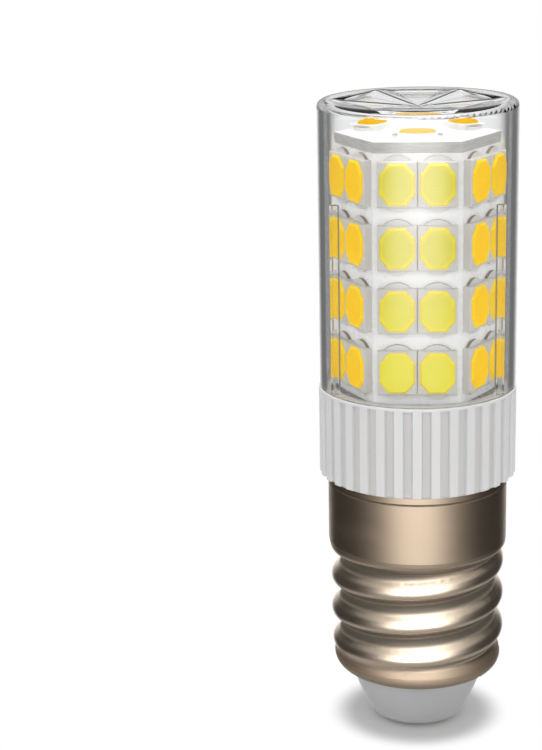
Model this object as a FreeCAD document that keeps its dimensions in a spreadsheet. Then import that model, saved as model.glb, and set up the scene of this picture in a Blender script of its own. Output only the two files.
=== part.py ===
import FreeCAD, Part

import math
import os
import re

import Sketcher

# Corn LED bulb with an E14 screw base. Millimetres, +Z up along the bulb's axis,
# origin at the middle of the centre contact's flat face, one flat of the column towards -Y.

Vector = FreeCAD.Vector
Placement = FreeCAD.Placement
Rotation = FreeCAD.Rotation
ACROSS = Vector(1, 0, 0)
UP = Vector(0, 0, 1)
FACE_COUNT = 6
SIDE_COLUMNS = 2
TOP_PACKAGES = 3
GUIDES = 3

SIZES = {
    # screw shell
    "shell_top": 20.9,
    "barrel_inset": 0.63,
    "barrel_wall": 0.35,
    "barrel_height": 5.65,
    "barrel_chamfer": 0.3,
    "lip_height": 0.6,
    "lip_proud": 0.05,
    "line_depth": 0.1,
    "thread_inset": 0.175,
    "thread_depth": 0.8,
    "thread_pitch": 2.822,
    "thread_wall": 0.22,
    "thread_start": 12.85,
    "fade_in": 1.1,
    "fade_out": 1.7,
    "bowl_inset": 0.4,
    "bowl_height": 1.04,
    "bowl_wall": 0.32,
    "bowl_fillet": 1.1,
    "bowl_inner_fillet": 0.6,
    "rim_bottom": 4.46,
    "rim_turn": 1.17,
    "join_overlap": 0.08,
    "join_step": 0.04,
    "notch_width": 0.55,
    "notch_height": 0.6,
    "notch_angle": -38.0,
    # insulator and centre contact
    "contact_radius": 2.4,
    "contact_height": 0.3,
    "contact_edge": 0.12,
    "stem_radius": 1.2,
    "bore_radius": 0.36,
    "bore_bottom": 1.2,
    "rivet_radius": 1.8,
    "rivet_height": 0.3,
    "foot_inset": 1.83,
    "foot_fillet": 0.85,
    "step_level": 1.4,
    "step_inset": 1.4,
    "step_depth": 0.09,
    "flange_gap": 0.1,
    "flange_bevel": 0.5,
    "flange_height": 0.82,
    "seat_gap": 0.05,
    # collar
    "collar_height": 7.3,
    "collar_proud": 0.03,
    "collar_ring": 0.25,
    "collar_edge": 0.08,
    "rib_count": 34,
    "rib_height": 0.26,
    "rib_width": 0.9,
    "rib_taper": 0.12,
    "rib_root": 0.15,
    "rib_lift": 0.2,
    "spigot_rise": 1.75,
    "spigot_wall": 0.84,
    "spigot_gap": 0.03,
    "recess_depth": 1.2,
    "groove_depth": 0.6,
    "land_width": 0.72,
    # clear cover
    "cover_radius": 7.75,
    "cover_height": 22.4,
    "cover_wall": 0.55,
    "cover_roof": 0.45,
    "cover_fillet": 0.6,
    "cover_inner_fillet": 0.2,
    "tongue_wall": 0.17,
    "star_margin": 0.3,
    "star_rim": 0.4,
    "star_edge_depth": 0.26,
    "star_middle_depth": 0.55,
    "star_swing": 15.0,
    "guide_width": 0.5,
    "guide_depth": 0.45,
    "guide_root": 0.1,
    "guide_length": 14.8,
    # hexagonal column
    "column_gap": 0.8,
    "side_board": 0.8,
    "base_disc": 1.0,
    "top_room": 2.5,
    "top_layer": 0.48,
    "lower_layer": 0.34,
    "layer_step": 0.05,
    # LED packages on the sides
    "led_margin": 0.28,
    "led_length": 3.42,
    "led_height": 0.62,
    "led_bevel": 0.07,
    "led_gap": 0.04,
    "led_pitch": 4.8,
    "led_head": 3.07,
    "led_foot": 2.4,
    "cup_depth": 0.2,
    "cup_rim_across": 0.15,
    "cup_rim_along": 0.12,
    "cup_corner_across": 0.66,
    "cup_corner_along": 0.83,
    "crown_height": 0.16,
    "crown_bevel": 0.15,
    "lug_inset": 0.45,
    "lug_reach": 0.42,
    "lug_thickness": 0.26,
    # LED packages on the top board
    "top_led_width": 2.35,
    "top_led_length": 2.96,
    "top_led_height": 0.45,
    "top_led_inset": 1.45,
    "top_front_inset": 2.2,
    "top_rim_across": 0.2,
    "top_rim_along": 0.13,
    "top_corner_across": 0.46,
    "top_corner_along": 0.74,
    "top_lug_inset": 0.425,
    # driver
    "driver_foot": 0.8,
    "driver_inset": 0.6,
    "driver_seat": 0.2,
    "driver_slot": 0.3,
    "driver_board": 1.0,
    "driver_gap": 0.03,
    "smoothing_clear": 0.4,
    "smoothing_length": 8.0,
    "smoothing_drop": 0.7,
    "smoothing_edge": 0.35,
    "film_side": 2.65,
    "film_clear": 2.9,
    "film_drop": 0.7,
    "film_edge": 0.3,
    "bridge_width": 4.7,
    "bridge_depth": 2.5,
    "bridge_length": 3.9,
    "bridge_drop": 0.8,
    "chip_width": 4.9,
    "chip_depth": 1.5,
    "chip_length": 3.9,
    "chip_drop": 0.8,
    "package_edge": 0.2,
    "resistor_depth": 0.55,
    "resistor_length": 1.2,
    "resistor_rise": 0.6,
    "resistor_side": 1.8,
    "resistor_gap": 0.3,
    "resistor_count": 3,
    "fuse_radius": 1.1,
    "fuse_base": 6.9,
    "fuse_drop": 0.5,
    "fuse_end": 0.3,
    "lead_radius": 0.3,
    "lead_gap": 0.05,
    "lead_slot": 1.2,
    "pin_radius": 0.3,
    "pin_inset": 3.0,
    "pin_below": 1.6,
    "pin_above": 0.7,
    "wire_radius": 0.35,
    "wire_inset": 0.7,
    "wire_drop": 1.4,
    "wire_foot": 2.1,
    "wire_rise": 0.65,
    "wire_bend": 0.9,
    "solder_radius": 0.5,
    "solder_reach": 1.07,
    "solder_foot": 0.95,
    "solder_tip": 0.45,
    "solder_height": 0.6,
}

# Sizes that follow from the ones above, in the order in which they are worked out.
FOLLOWING = {
    # radii
    "cover_bore": "cover_radius - cover_wall",
    "collar_radius": "cover_radius + collar_proud",
    "body_radius": "collar_radius - rib_height",
    "groove_inner": "cover_bore - spigot_gap",
    "groove_outer": "cover_bore + tongue_wall + spigot_gap",
    "recess_radius": "groove_inner - land_width",
    "barrel_radius": "cover_radius - barrel_inset",
    "barrel_bore": "barrel_radius - barrel_wall",
    "spigot_radius": "barrel_bore - spigot_gap",
    "collar_bore": "spigot_radius - spigot_wall",
    "thread_major": "barrel_radius - thread_inset",
    "thread_minor": "thread_major - thread_depth",
    "bowl_radius": "barrel_radius - bowl_inset",
    "bowl_bore": "bowl_radius - bowl_wall",
    "rim_radius": "bowl_radius - rim_turn",
    "flange_radius": "bowl_bore - flange_gap",
    "step_radius": "rim_radius - step_inset",
    "foot_radius": "rim_radius - foot_inset",
    "column_radius": "cover_bore - column_gap",
    "column_flat": "column_radius * sqrt(3) / 2",
    "star_radius": "cover_bore - star_margin",
    # heights
    "rim_top": "rim_bottom + bowl_wall",
    "bowl_top": "rim_bottom + bowl_height",
    "insulator_top": "rim_top + flange_height",
    "barrel_bottom": "shell_top - barrel_height",
    "spigot_bottom": "barrel_bottom + spigot_rise",
    "collar_top": "shell_top + collar_height",
    "ledge": "collar_top - recess_depth",
    "cover_top": "collar_top + cover_height",
    "ceiling": "cover_top - cover_roof",
    "column_bottom": "ledge + base_disc",
    "top_board_top": "cover_top - top_room",
    "column_top": "top_board_top - top_layer - lower_layer",
    "led_first_row": "top_board_top - led_head",
    # packages
    "led_width": "(column_radius - 2 * led_margin - led_gap) / 2",
    "cup_width": "led_width - 2 * cup_rim_across",
    "cup_length": "led_length - 2 * cup_rim_along",
    "lug_width": "led_width - 2 * lug_inset",
    "top_cup_width": "top_led_width - 2 * top_rim_across",
    "top_cup_length": "top_led_length - 2 * top_rim_along",
    "top_lug_width": "top_led_width - 2 * top_lug_inset",
    "top_led_place": "column_flat - top_led_inset",
    "top_front_place": "column_flat - top_front_inset",
    # driver
    "board_half": "driver_board / 2",
    "driver_half": "collar_bore - driver_inset",
    "driver_shoulder": "spigot_bottom + driver_seat",
    "smoothing_radius": "(collar_bore - smoothing_clear - board_half) / 2",
    "smoothing_base": "ledge - smoothing_drop - smoothing_length",
    "film_width": "2 * (collar_bore - film_side)",
    "film_depth": "collar_bore - film_clear",
    "wire_level": "barrel_bottom + wire_rise",
    "wire_start": "wire_level - wire_drop",
    "driver_bottom": "wire_start - wire_foot",
    "film_base": "driver_bottom + driver_foot",
    "film_length": "smoothing_base - film_drop - film_base",
    "bridge_base": "ledge - bridge_drop - bridge_length",
    "chip_base": "bridge_base - chip_drop - chip_length",
    "resistor_pitch": "driver_half - resistor_side",
    "resistor_width": "resistor_pitch - resistor_gap",
    "resistor_base": "driver_bottom + resistor_rise",
    "fuse_length": "driver_bottom - fuse_drop - fuse_base",
    "pin_place": "column_radius - pin_inset",
    "wire_place": "driver_half - wire_inset",
    "wire_end": "barrel_bore - solder_reach",
}

doc = FreeCAD.newDocument("corn_led_bulb")
sheet = doc.addObject("Spreadsheet::Sheet", "sizes")
for row, (alias, value) in enumerate({**SIZES, **FOLLOWING}.items(), start=1):
    sheet.set("A%d" % row, alias)
    sheet.set("B%d" % row, "=%s" % value)
    sheet.setAlias("B%d" % row, alias)
doc.recompute()

nodes = []


def size(expression):
    """Value of an expression whose names are the sheet's aliases."""
    return float(sheet.evalExpression(expression))


def linked(expression):
    """The same expression with each alias written as a reference to the sheet."""
    for word in sorted(set(re.findall("[a-z_]+", expression)) & (set(SIZES) | set(FOLLOWING))):
        expression = re.sub(r"\b%s\b" % word, "sizes." + word, expression)
    return expression


def bind(feature, **properties):
    """Binds properties of a feature to expressions; a double underscore stands for a dot."""
    for prop, expression in properties.items():
        feature.setExpression(prop.replace("__", "."), linked(expression))


def keep(item, label):
    """Marks an object as a sub-part of the bulb."""
    item.Label = label
    nodes.append(item)
    return item


def new_body(label):
    """An empty body."""
    body = doc.addObject("PartDesign::Body", label)
    body.Label = label
    return body


def plane_sketch(body, name, role="XY_Plane", level="0"):
    """A sketch on one of the body's own origin planes, moved along its normal."""
    sketch = body.newObject("Sketcher::SketchObject", name)
    plane = [item for item in body.Origin.OriginFeatures if item.Role == role][0]
    sketch.AttachmentSupport = [(plane, "")]
    sketch.MapMode = "FlatFace"
    sketch.AttachmentOffset = Placement(Vector(0, 0, size(level)), Rotation())
    sketch.setExpression("AttachmentOffset.Base.z", linked(level))
    return sketch


def hold_point(sketch, item, point, expressions):
    """Holds one point of a sketch at signed distances from the origin."""
    for kind, expression in zip(("DistanceX", "DistanceY"), expressions):
        value = size(expression)
        if value < 0:
            number = sketch.addConstraint(Sketcher.Constraint(kind, item, point, -1, 1, -value))
            sketch.setExpression("Constraints[%d]" % number, "-(%s)" % linked(expression))
        else:
            number = sketch.addConstraint(Sketcher.Constraint(kind, -1, 1, item, point, value))
            sketch.setExpression("Constraints[%d]" % number, linked(expression))


def add_outline(sketch, points):
    """A closed outline of straight lines through points given as pairs of expressions."""
    corners = [Vector(size(across), size(along), 0) for across, along in points]
    first = sketch.GeometryCount
    count = len(corners)
    for start, end in zip(corners, corners[1:] + corners[:1]):
        sketch.addGeometry(Part.LineSegment(start, end), False)
    for index in range(count):
        following = first + (index + 1) % count
        sketch.addConstraint(Sketcher.Constraint("Coincident", first + index, 2, following, 1))
    for index, expressions in enumerate(points):
        hold_point(sketch, first + index, 1, expressions)


def add_circle(sketch, radius, across="0", along="0"):
    """A circle whose radius and centre are expressions."""
    circle = sketch.addGeometry(Part.Circle(Vector(size(across), size(along), 0), UP, size(radius)), False)
    number = sketch.addConstraint(Sketcher.Constraint("Radius", circle, size(radius)))
    sketch.setExpression("Constraints[%d]" % number, linked(radius))
    hold_point(sketch, circle, 3, (across, along))


def turn(body, points):
    """A full revolution of an outline (radius, height) about the bulb's axis."""
    sketch = plane_sketch(body, body.Label + "_section", "XZ_Plane")
    add_outline(sketch, points)
    feature = body.newObject("PartDesign::Revolution", body.Label + "_turned")
    feature.Profile = sketch
    feature.ReferenceAxis = (sketch, ["V_Axis"])
    feature.Angle = 360
    return feature


def pad(body, sketch, height):
    """A pad of a sketch along its normal."""
    feature = body.newObject("PartDesign::Pad", sketch.Label + "_pad")
    feature.Profile = sketch
    bind(feature, Length=height)
    return feature


def pocket(body, sketch, depth, direction_up):
    """A pocket of a sketch, upwards or downwards, that has to remove something."""
    doc.recompute()
    before = body.Tip.Shape.Volume
    feature = body.newObject("PartDesign::Pocket", sketch.Label + "_pocket")
    feature.Profile = sketch
    feature.Reversed = direction_up
    bind(feature, Length=depth)
    doc.recompute()
    if feature.Shape.Volume >= before:
        raise RuntimeError("%s removes nothing" % feature.Label)
    return feature


def ring_edges(shape, radius, level):
    """Names of the circular edges about the axis at one radius and height."""
    found = []
    for number, edge in enumerate(shape.Edges, start=1):
        circle = edge.Curve
        if not isinstance(circle, Part.Circle):
            continue
        if abs(circle.Radius - radius) < 1e-6 and abs(circle.Center.z - level) < 1e-6:
            found.append("Edge%d" % number)
    return found


def round_edge(body, feature, edge_radius, edge_level, fillet):
    """Rounds one ring edge of a turned feature."""
    doc.recompute()
    rounded = body.newObject("PartDesign::Fillet", "round_of_" + body.Label)
    rounded.Base = (feature, ring_edges(feature.Shape, size(edge_radius), size(edge_level)))
    bind(rounded, Radius=fillet)
    doc.recompute()
    return rounded


def bevel_top(body, feature, width):
    """Bevels the edges of a feature's highest flat face."""
    doc.recompute()
    levels = [face.CenterOfMass.z for face in feature.Shape.Faces]
    highest = levels.index(max(levels)) + 1
    beveled = body.newObject("PartDesign::Chamfer", "bevel_of_" + body.Label)
    beveled.Base = (feature, ["Face%d" % highest])
    bind(beveled, Size=width)
    doc.recompute()
    return beveled


def octagon(width, length, corner_across, corner_along):
    """Corners of a long octagon about the origin."""
    side = "( %s / 2 )" % width
    end = "( %s / 2 )" % length
    side_flat = "( %s / 2 - %s )" % (length, corner_along)
    end_flat = "( %s / 2 - %s )" % (width, corner_across)
    return [
        (side, side_flat),
        (end_flat, end),
        ("-" + end_flat, end),
        ("-" + side, side_flat),
        ("-" + side, "-" + side_flat),
        ("-" + end_flat, "-" + end),
        (end_flat, "-" + end),
        (side, "-" + side_flat),
    ]


def rectangle(width, length):
    """Corners of a rectangle about the origin."""
    side = "( %s / 2 )" % width
    end = "( %s / 2 )" % length
    return [(side, end), ("-" + side, end), ("-" + side, "-" + end), (side, "-" + end)]


def box(name, low, high):
    """A box between two corners given as triples of expressions."""
    item = doc.addObject("Part::Box", name)
    sides = ["( %s ) - ( %s )" % pair for pair in zip(high, low)]
    bind(item, Length=sides[0], Width=sides[1], Height=sides[2])
    bind(item, Placement__Base__x=low[0], Placement__Base__y=low[1], Placement__Base__z=low[2])
    return item


def cylinder(name, radius, height, base):
    """An upright cylinder on a base point given as a triple of expressions."""
    item = doc.addObject("Part::Cylinder", name)
    bind(item, Radius=radius, Height=height)
    bind(item, Placement__Base__x=base[0], Placement__Base__y=base[1], Placement__Base__z=base[2])
    return item


def boolean(kind, name, base, tool):
    """A cut, fusion or common part of two objects."""
    item = doc.addObject("Part::" + kind, name)
    item.Base = base
    item.Tool = tool
    return item


def chamfered(name, base, width, picks):
    """A bevel of the edges of a solid that a test picks."""
    doc.recompute()
    item = doc.addObject("Part::Chamfer", name)
    item.Base = base
    reach = size(width)
    edges = [number for number, edge in enumerate(base.Shape.Edges, start=1) if picks(edge)]
    item.Edges = [(number, reach, reach) for number in edges]
    return item


def copies(label, master, placements):
    """One node that holds a separate solid of the master at each placement."""
    doc.recompute()
    solids = []
    for placement in placements:
        for solid in master.Shape.Solids:
            moved = solid.copy()
            moved.Placement = placement.multiply(solid.Placement)
            solids.append(moved)
    item = doc.addObject("Part::Feature", label)
    item.Shape = Part.makeCompound(solids)
    return keep(item, label)


def smooth_step(start, end, value):
    """0 before the start, 1 past the end, and a smooth rise between."""
    share = min(1.0, max(0.0, (value - start) / (end - start)))
    return share * share * (3 - 2 * share)


def thread_radius(angle, level):
    """Outer radius of the rolled thread: equal round crests and roots that fade out at both ends.

    The thread is right-handed. Crest and root are tangent arcs of one radius.
    """
    pitch = size("thread_pitch")
    major = size("thread_major")
    minor = size("thread_minor")
    quarter = pitch / 4
    depth = major - minor
    arc = (quarter * quarter + depth * depth / 4) / depth
    turns = (level - size("thread_start")) / pitch - (angle + math.pi / 2) / (2 * math.pi)
    away = abs((turns + 0.5) % 1.0 - 0.5) * pitch
    if away < quarter:
        radius = major - arc + math.sqrt(arc * arc - away * away)
    else:
        from_root = pitch / 2 - away
        radius = minor + arc - math.sqrt(arc * arc - from_root * from_root)
    top = size("barrel_bottom")
    bottom = size("bowl_top")
    overlap = size("join_overlap")
    at_top = smooth_step(top - overlap - size("fade_in"), top - overlap, level)
    at_bottom = smooth_step(bottom + overlap + size("fade_out"), bottom + overlap, level)
    upper = size("barrel_radius - 2 * join_step")
    lower = size("bowl_radius - join_step")
    radius += (upper - radius) * at_top
    radius += (lower - radius) * at_bottom
    return radius


def thread_surface(inset):
    """The threaded wall as one spline surface, closed round the axis."""
    around = 32
    along = 50
    low = size("bowl_top")
    high = size("barrel_bottom")
    swell = 3 / (2 + math.cos(2 * math.pi / around))
    poles = []
    for column in range(around):
        angle = 2 * math.pi * column / around
        line = []
        for step in range(along):
            level = low + (high - low) * step / (along - 1)
            radius = (thread_radius(angle, level) - inset) * swell
            line.append(Vector(radius * math.cos(angle), radius * math.sin(angle), level))
        poles.append(line)
    surface = Part.BSplineSurface()
    around_knots = list(range(around + 1))
    along_knots = list(range(along - 2))
    along_counts = [4] + [1] * (along - 4) + [4]
    surface.buildFromPolesMultsKnots(
        poles, [1] * (around + 1), along_counts, around_knots, along_knots, True, False, 3, 3
    )
    return surface.toShape()


def end_rings(face):
    """The lower and upper end edges of a threaded wall."""
    flat = [edge for edge in face.Edges if edge.isClosed() and edge.BoundBox.ZLength < 0.01]
    return sorted(flat, key=lambda edge: edge.BoundBox.ZMin)


def thread_sleeve():
    """The threaded stretch of the shell, a thin wall that follows the thread inside and out."""
    outer = thread_surface(0)
    inner = thread_surface(size("thread_wall"))
    faces = [outer, inner]
    for outer_ring, inner_ring in zip(end_rings(outer), end_rings(inner)):
        cap = Part.Face(Part.Wire(outer_ring)).cut(Part.Face(Part.Wire(inner_ring)))
        faces.extend(cap.Faces)
    shell = Part.makeShell(faces)
    shell.sewShape()
    item = doc.addObject("Part::Feature", "thread_sleeve")
    item.Shape = Part.Solid(shell)
    return item


def screw_shell():
    """The rolled shell: lip and plain barrel, thread, bowl with a turned-in rim, and its notch."""
    barrel = new_body("shell_barrel")
    line = "( shell_top - lip_height )"
    foot = "( barrel_bottom - join_overlap )"
    turn(barrel, [
        ("barrel_bore", foot),
        ("barrel_radius - join_step", foot),
        ("barrel_radius", foot + " + barrel_chamfer"),
        ("barrel_radius", line + " - line_depth"),
        ("barrel_radius - line_depth", line),
        ("barrel_radius + lip_proud", line + " + line_depth"),
        ("barrel_radius + lip_proud", "shell_top - lip_proud"),
        ("barrel_radius", "shell_top"),
        ("barrel_bore", "shell_top"),
    ])
    bowl = new_body("shell_bowl")
    bowl_head = "( bowl_top + join_overlap )"
    turned = turn(bowl, [
        ("bowl_bore", bowl_head),
        ("bowl_radius", bowl_head),
        ("bowl_radius", "rim_bottom"),
        ("rim_radius", "rim_bottom"),
        ("rim_radius", "rim_top"),
        ("bowl_bore", "rim_top"),
    ])
    turned = round_edge(bowl, turned, "bowl_radius", "rim_bottom", "bowl_fillet")
    round_edge(bowl, turned, "bowl_bore", "rim_top", "bowl_inner_fillet")
    whole = doc.addObject("Part::MultiFuse", "shell_whole")
    whole.Shapes = [barrel, thread_sleeve(), bowl]
    notch = doc.addObject("Part::Box", "rim_notch")
    start = "(rim_radius - notch_width)"
    half = "(notch_width / 2)"
    bind(
        notch,
        Length="bowl_radius - " + start,
        Width="notch_width",
        Height="notch_height + notch_width",
        Placement__Base__x=start + " * cos(notch_angle) + " + half + " * sin(notch_angle)",
        Placement__Base__y=start + " * sin(notch_angle) - " + half + " * cos(notch_angle)",
        Placement__Base__z="rim_bottom - notch_width",
        Placement__Rotation__Angle="notch_angle",
    )
    keep(boolean("Cut", "screw_shell", whole, notch), "screw_shell")


def base_insulator():
    """The tapered insulator: flat foot, moulded step, cone, and the flange inside the bowl."""
    body = new_body("base_insulator")
    throat = "rim_radius - seat_gap"
    turned = turn(body, [
        ("stem_radius", "contact_height"),
        ("foot_radius", "contact_height"),
        ("step_radius", "step_level"),
        ("step_radius + step_depth", "step_level"),
        (throat, "rim_bottom"),
        (throat, "rim_top"),
        ("flange_radius - flange_bevel", "rim_top"),
        ("flange_radius", "rim_top + flange_bevel"),
        ("flange_radius", "insulator_top"),
        ("stem_radius", "insulator_top"),
    ])
    round_edge(body, turned, "foot_radius", "contact_height", "foot_fillet")
    keep(body, "base_insulator")


def centre_contact():
    """The button contact with its stem, riveted over inside the shell."""
    body = new_body("centre_contact")
    rivet_top = "insulator_top + rivet_height"
    turn(body, [
        ("0", "0"),
        ("contact_radius - contact_edge", "0"),
        ("contact_radius", "contact_edge"),
        ("contact_radius", "contact_height"),
        ("stem_radius", "contact_height"),
        ("stem_radius", "insulator_top"),
        ("rivet_radius", "insulator_top"),
        ("rivet_radius", rivet_top),
        ("bore_radius", rivet_top),
        ("bore_radius", "bore_bottom"),
        ("0", "bore_bottom"),
    ])
    keep(body, "centre_contact")
    solder = new_body("contact_solder")
    turn(solder, [
        ("lead_radius", rivet_top),
        ("solder_foot", rivet_top),
        ("solder_tip", rivet_top + " + solder_height"),
        ("lead_radius", rivet_top + " + solder_height"),
    ])
    keep(solder, "contact_solder")


def collar():
    """The moulded collar: ribs, ring and groove for the cover, ledge, bore and spigot."""
    body = new_body("collar")
    ring_bottom = "collar_top - collar_ring"
    groove_bottom = "collar_top - groove_depth"
    turn(body, [
        ("collar_bore", "spigot_bottom"),
        ("spigot_radius", "spigot_bottom"),
        ("spigot_radius", "shell_top"),
        ("body_radius - rib_lift", "shell_top"),
        ("body_radius", "shell_top + rib_lift"),
        ("body_radius", ring_bottom),
        ("collar_radius", ring_bottom),
        ("collar_radius", "collar_top - collar_edge"),
        ("collar_radius - collar_edge", "collar_top"),
        ("groove_outer", "collar_top"),
        ("groove_outer", groove_bottom),
        ("groove_inner", groove_bottom),
        ("groove_inner", "collar_top"),
        ("recess_radius", "collar_top"),
        ("recess_radius", "ledge"),
        ("collar_bore", "ledge"),
    ])
    slots = plane_sketch(body, "board_slots", level="ledge")
    slot_length = "(2 * (collar_bore + driver_slot))"
    slot_width = "(driver_board + 2 * driver_gap)"
    add_outline(slots, rectangle(slot_length, slot_width))
    pocket(body, slots, "ledge - driver_shoulder", False)
    rib = plane_sketch(body, "rib", level="shell_top + rib_lift")
    root = "-(body_radius - rib_root)"
    add_outline(rib, [
        ("-rib_width / 2", root),
        ("rib_width / 2", root),
        ("rib_width / 2 - rib_taper", "-collar_radius"),
        ("-(rib_width / 2 - rib_taper)", "-collar_radius"),
    ])
    first_rib = pad(body, rib, ring_bottom + " - (shell_top + rib_lift)")
    pattern = body.newObject("PartDesign::PolarPattern", "ribs")
    pattern.Originals = [first_rib]
    pattern.Axis = (rib, ["N_Axis"])
    pattern.Angle = 360
    bind(pattern, Occurrences="rib_count")
    body.Tip = pattern
    keep(body, "collar")


def star(name, reach, level, lift):
    """A shallow faceted star: a hexagon whose underside falls in facets to the middle.

    Its corners lie at the given level, and the solid rises from there by the lift.
    """
    height = size(level)
    radius = size(reach)
    wide = radius * math.cos(math.pi / FACE_COUNT) / math.cos(math.radians(size("star_swing")))
    low = height - size("star_edge_depth")
    middle = Vector(0, 0, height - size("star_middle_depth"))
    raised = []
    outlines = [raised]
    for index in range(FACE_COUNT):
        corner, first, second, after = [
            Rotation(UP, 360 / FACE_COUNT * index + angle).multVec(Vector(place, 0, drop))
            for angle, place, drop in (
                (0, radius, height),
                (180 / FACE_COUNT - size("star_swing"), wide, low),
                (180 / FACE_COUNT + size("star_swing"), wide, low),
                (360 / FACE_COUNT, radius, height),
            )
        ]
        above = [corner + UP * size(lift), after + UP * size(lift)]
        raised.append(above[0])
        outlines.append([middle, corner, first])
        outlines.append([middle, first, second])
        outlines.append([middle, second, after])
        outlines.append([corner, first, second, after] + above[::-1])
    faces = [Part.Face(Part.makePolygon(outline + outline[:1])) for outline in outlines]
    shell = Part.makeShell(faces)
    shell.sewShape()
    solid = Part.Solid(shell)
    if solid.Volume < 0:
        solid.reverse()
    item = doc.addObject("Part::Feature", name)
    item.Shape = solid
    return item


def clear_cover():
    """The clear cup: tongue in the collar's groove, guide ribs inside, roof folded to a star."""
    cup = new_body("cover_cup")
    tongue = "cover_bore + tongue_wall"
    tongue_foot = "collar_top - groove_depth + seat_gap"
    turned = turn(cup, [
        ("0", "ceiling"),
        ("cover_bore", "ceiling"),
        ("cover_bore", tongue_foot),
        (tongue, tongue_foot),
        (tongue, "collar_top"),
        ("cover_radius", "collar_top"),
        ("cover_radius", "cover_top"),
        ("0", "cover_top"),
    ])
    turned = round_edge(cup, turned, "cover_radius", "cover_top", "cover_fillet")
    round_edge(cup, turned, "cover_bore", "ceiling", "cover_inner_fillet")
    guide = plane_sketch(cup, "guide", level="collar_top + seat_gap")
    add_outline(guide, [
        ("guide_width / 2", "cover_bore - guide_depth"),
        ("guide_width / 2", "cover_bore + guide_root"),
        ("-guide_width / 2", "cover_bore + guide_root"),
        ("-guide_width / 2", "cover_bore - guide_depth"),
    ])
    first_guide = pad(cup, guide, "guide_length")
    pattern = cup.newObject("PartDesign::PolarPattern", "guides")
    pattern.Originals = [first_guide]
    pattern.Axis = (guide, ["N_Axis"])
    pattern.Angle = 360
    pattern.Occurrences = GUIDES
    cup.Tip = pattern
    doc.recompute()
    boss = star("star_boss", "star_radius", "ceiling", "cover_roof / 2")
    cutter = star("star_cutter", "star_radius - star_rim", "cover_top", "cover_roof")
    folded = boolean("Fuse", "folded_roof", cup, boss)
    keep(boolean("Cut", "clear_cover", folded, cutter), "clear_cover")


def column():
    """The hexagonal column: its base, six mitred side boards and the top board in two layers."""
    base = new_body("column_base")
    disc = plane_sketch(base, "disc", level="ledge")
    add_circle(disc, "recess_radius - seat_gap")
    for side in ("-pin_place", "pin_place"):
        add_circle(disc, "pin_radius", side, "board_half + pin_radius")
    pad(base, disc, "base_disc")
    keep(base, "column_base")
    for index in range(FACE_COUNT):
        board = new_body("led_board_%d" % (index + 1))
        outline = plane_sketch(board, "board_%d" % (index + 1), level="column_bottom")
        inner = "(column_radius / 2 - side_board / sqrt(3))"
        add_outline(outline, [
            ("-column_radius / 2", "-column_flat"),
            ("column_radius / 2", "-column_flat"),
            (inner, "-(column_flat - side_board)"),
            ("-" + inner, "-(column_flat - side_board)"),
        ])
        pad(board, outline, "column_top - column_bottom")
        board.Placement = Placement(Vector(), Rotation(UP, 360 / FACE_COUNT * index))
        keep(board, board.Label)
    upper = doc.addObject("Part::Prism", "upper_layer")
    lower = doc.addObject("Part::Prism", "lower_layer")
    for layer, radius, height, level in (
        (upper, "column_radius", "top_layer", "top_board_top - top_layer"),
        (lower, "column_radius - layer_step", "lower_layer", "column_top"),
    ):
        layer.Polygon = FACE_COUNT
        bind(layer, Circumradius=radius, Height=height, Placement__Base__z=level)
    keep(boolean("Fuse", "top_board", upper, lower), "top_board")


def package(name, sizes_of):
    """A package, its phosphor and one end terminal, lying on z = 0 and facing up."""
    body = new_body(name + "_package")
    outline = plane_sketch(body, name + "_outline")
    add_outline(outline, rectangle(sizes_of["width"], sizes_of["length"]))
    raised = pad(body, outline, sizes_of["height"])
    bevel_top(body, raised, "led_bevel")
    cup = octagon(
        sizes_of["cup_width"], sizes_of["cup_length"], sizes_of["corner_across"], sizes_of["corner_along"]
    )
    cup_sketch = plane_sketch(body, name + "_cup", level=sizes_of["height"])
    add_outline(cup_sketch, cup)
    pocket(body, cup_sketch, "cup_depth", False)
    phosphor = new_body(name + "_phosphor")
    fill = plane_sketch(phosphor, name + "_fill", level=sizes_of["height"] + " - cup_depth")
    add_outline(fill, cup)
    filled = pad(phosphor, fill, "cup_depth + crown_height")
    bevel_top(phosphor, filled, "crown_bevel")
    half = "(" + sizes_of["lug_width"] + " / 2)"
    end = "(" + sizes_of["length"] + " / 2)"
    radius = "((" + half + " ^ 2 + lug_reach ^ 2) / (2 * lug_reach))"
    disc = cylinder(name + "_lug_disc", radius, "lug_thickness", ("0", end + " + lug_reach - " + radius, "0"))
    strip = box(name + "_lug_strip", ("-" + half, end, "0"), (half, end + " + lug_reach", "lug_thickness"))
    terminal = boolean("Common", name + "_terminal", disc, strip)
    return body, phosphor, terminal


def side_packages():
    """Eight LED packages on each side board, in two columns and four rows."""
    body, phosphor, terminal = package("side_led", {
        "width": "led_width",
        "length": "led_length",
        "height": "led_height",
        "cup_width": "cup_width",
        "cup_length": "cup_length",
        "corner_across": "cup_corner_across",
        "corner_along": "cup_corner_along",
        "lug_width": "lug_width",
    })
    upright = Rotation(ACROSS, 90)
    half_turn = Placement(Vector(), Rotation(UP, 180))
    column_pitch = size("led_width + led_gap")
    room = size("led_first_row - column_bottom - led_foot")
    rows = 1 + int(room / size("led_pitch"))
    for index in range(FACE_COUNT):
        face = Placement(Vector(), Rotation(UP, 360 / FACE_COUNT * index))
        places = []
        for row_index in range(rows):
            level = size("led_first_row") - row_index * size("led_pitch")
            for column_index in range(SIDE_COLUMNS):
                across = (column_index - (SIDE_COLUMNS - 1) / 2) * column_pitch
                place = Placement(Vector(across, -size("column_flat"), level), upright)
                places.append(face.multiply(place))
        turned = [place.multiply(half_turn) for place in places]
        copies("led_bodies_%d" % (index + 1), body, places)
        copies("phosphor_%d" % (index + 1), phosphor, places)
        copies("led_terminals_%d" % (index + 1), terminal, places + turned)


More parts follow.
